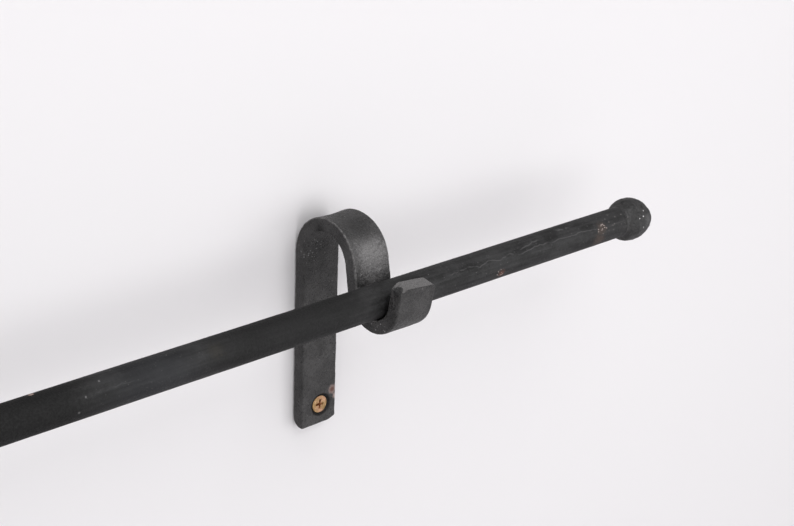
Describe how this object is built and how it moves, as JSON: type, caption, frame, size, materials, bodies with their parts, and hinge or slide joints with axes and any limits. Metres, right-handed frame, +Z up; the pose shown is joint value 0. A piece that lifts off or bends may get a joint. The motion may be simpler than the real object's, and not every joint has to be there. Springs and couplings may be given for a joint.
{
  "type": "curtain rod with brackets",
  "caption": "Blackened steel curtain rod with ball finials, lifted out of open forged-strap hook brackets screwed to a wall.",
  "frame": {"origin": "on the wall's surface, midway between the two fixing screws, at their height", "axes": "+X along the rod, +Y into the wall along the screws, +Z up"},
  "size_m": [0.9936, 0.1138, 0.1158],
  "materials": {
    "rod_blackened_steel": "blackened steel tube, waxed, scratched lengthwise",
    "forged_black_steel": "forged black steel, satin, arrises worn lighter",
    "cast_black_finial": "lumpy blackened iron with small bright specks",
    "yellow_zinc": "yellow zinc-plated steel",
    "turned_steel": "turned bright steel"
  },
  "bodies": {
    "wall_brackets": {"right_bracket": "forged_black_steel", "left_bracket": "forged_black_steel", "right_bracket_screw": "yellow_zinc", "left_bracket_screw": "yellow_zinc"},
    "rod_carrier": {"right_end_insert": "turned_steel", "left_end_insert": "turned_steel"},
    "rod": {"rod_tube": "rod_blackened_steel"},
    "right_stud": {"right_finial_stud": "turned_steel"},
    "left_stud": {"left_finial_stud": "turned_steel"},
    "right_finial": {"right_ball_finial": "cast_black_finial"},
    "left_finial": {"left_ball_finial": "cast_black_finial"}
  },
  "joints": [
    {"name": "rod_lift", "type": "slide", "parent": "wall_brackets", "child": "rod_carrier", "axis": [0, 0, 1], "range_m": [0, 0.045]},
    {"name": "rod_turn", "type": "hinge", "parent": "rod_carrier", "child": "rod", "pos_m": [0, -0.05517, 0.07509], "axis": [1, 0, 0], "continuous": true},
    {"name": "right_finial_unscrew", "type": "slide", "parent": "rod", "child": "right_stud", "axis": [1, 0, 0], "range_m": [0, 0.0125]},
    {"name": "right_finial_turn", "type": "hinge", "parent": "right_stud", "child": "right_finial", "pos_m": [0.4725, -0.05517, 0.07509], "axis": [1, 0, 0], "range_deg": [0, 3610]},
    {"name": "left_finial_unscrew", "type": "slide", "parent": "rod", "child": "left_stud", "axis": [-1, 0, 0], "range_m": [0, 0.0125]},
    {"name": "left_finial_turn", "type": "hinge", "parent": "left_stud", "child": "left_finial", "pos_m": [-0.4725, -0.05517, 0.07509], "axis": [-1, 0, 0], "range_deg": [0, 3610]}
  ],
  "couplings": [
    {"joint": "right_finial_turn", "follows": "right_finial_unscrew", "rad_per_m": 5026.5},
    {"joint": "left_finial_turn", "follows": "left_finial_unscrew", "rad_per_m": 5026.5}
  ]
}
